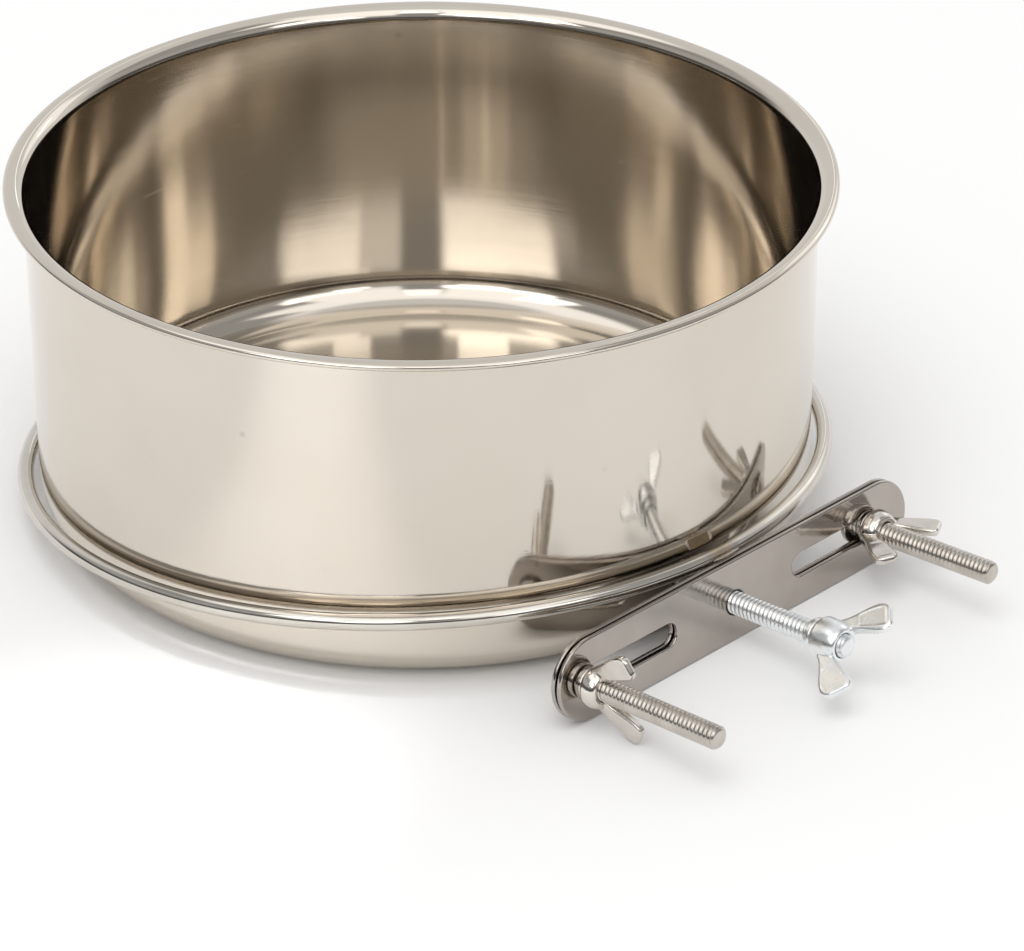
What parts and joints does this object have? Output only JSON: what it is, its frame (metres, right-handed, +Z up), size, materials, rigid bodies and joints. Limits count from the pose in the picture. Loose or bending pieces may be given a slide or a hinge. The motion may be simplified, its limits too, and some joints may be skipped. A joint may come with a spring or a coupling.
{
  "type": "cage water bowl",
  "caption": "Deep straight-walled stainless steel bowl with a rolled rim, standing in a wire-ring holder whose slotted plates clamp cage bars with wing-nut screws.",
  "frame": {"origin": "centre of the cup's flat bottom, on the surface it stands on", "axes": "+Z up along the cup's axis, -Y towards the clamp and out along its screws, +X along the clamp plates to the right as seen from outside"},
  "size_m": [0.1714, 0.2102, 0.0731],
  "materials": {
    "cup": "mirror-polished stainless steel",
    "holder_ring": "polished stainless steel",
    "plate_weld": "heat-tinted weld metal",
    "back_plate": "polished stainless steel",
    "clamp_plate": "polished stainless steel",
    "left_bolt": "polished stainless steel",
    "left_washer": "polished stainless steel",
    "left_wing_nut": "polished stainless steel",
    "right_bolt": "polished stainless steel",
    "right_washer": "polished stainless steel",
    "right_wing_nut": "polished stainless steel",
    "centre_bolt": "bright zinc plating",
    "centre_washer": "bright zinc plating",
    "centre_wing_nut": "bright zinc plating"
  },
  "bodies": {
    "cup": {"cup": "cup"},
    "holder": {"holder_ring": "holder_ring", "plate_weld": "plate_weld", "back_plate": "back_plate", "centre_bolt": "centre_bolt"},
    "clamp": {"clamp_plate": "clamp_plate"},
    "left_screw": {"left_bolt": "left_bolt"},
    "left_spacer": {"left_washer": "left_washer"},
    "left_nut": {"left_wing_nut": "left_wing_nut"},
    "right_screw": {"right_bolt": "right_bolt"},
    "right_spacer": {"right_washer": "right_washer"},
    "right_nut": {"right_wing_nut": "right_wing_nut"},
    "centre_spacer": {"centre_washer": "centre_washer"},
    "centre_nut": {"centre_wing_nut": "centre_wing_nut"}
  },
  "joints": [
    {"name": "holder_slide", "type": "slide", "parent": "cup", "child": "holder", "axis": [0, 0, 1], "range_m": [0, 0.0517]},
    {"name": "clamp_slide", "type": "slide", "parent": "holder", "child": "clamp", "axis": [0, -0.9959, 0.0904], "range_m": [0, 0.00953]},
    {"name": "left_bolt_slide", "type": "slide", "parent": "holder", "child": "left_screw", "axis": [1, 0, 0], "range_m": [0, 0.021]},
    {"name": "left_washer_slide", "type": "slide", "parent": "left_screw", "child": "left_spacer", "axis": [0, -0.9959, 0.0904], "range_m": [0, 0.00953]},
    {"name": "left_nut_turn", "type": "hinge", "parent": "left_spacer", "child": "left_nut", "pos_m": [-0.0429, -0.09143, 0.00912], "axis": [0, -0.9959, 0.0904], "range_deg": [0, 3240]},
    {"name": "right_bolt_slide", "type": "slide", "parent": "holder", "child": "right_screw", "axis": [-1, 0, 0], "range_m": [0, 0.0185]},
    {"name": "right_washer_slide", "type": "slide", "parent": "right_screw", "child": "right_spacer", "axis": [0, -0.9959, 0.0904], "range_m": [0, 0.00953]},
    {"name": "right_nut_turn", "type": "hinge", "parent": "right_spacer", "child": "right_nut", "pos_m": [0.0395, -0.09044, 0.00903], "axis": [0, -0.9959, 0.0904], "range_deg": [0, 3240]},
    {"name": "centre_washer_slide", "type": "slide", "parent": "holder", "child": "centre_spacer", "axis": [0, 0.9959, -0.0904], "range_m": [0, 0.00953]},
    {"name": "centre_nut_turn", "type": "hinge", "parent": "centre_spacer", "child": "centre_nut", "pos_m": [-0.0005, -0.1119, 0.01038], "axis": [0, 0.9959, -0.0904], "range_deg": [0, 3240]}
  ],
  "couplings": [
    {"joint": "left_washer_slide", "follows": "clamp_slide", "ratio": 1},
    {"joint": "right_washer_slide", "follows": "clamp_slide", "ratio": 1},
    {"joint": "left_nut_turn", "follows": "clamp_slide", "rad_per_m": 5936.9},
    {"joint": "right_nut_turn", "follows": "clamp_slide", "rad_per_m": 5936.9},
    {"joint": "centre_nut_turn", "follows": "centre_washer_slide", "rad_per_m": 5936.9}
  ]
}
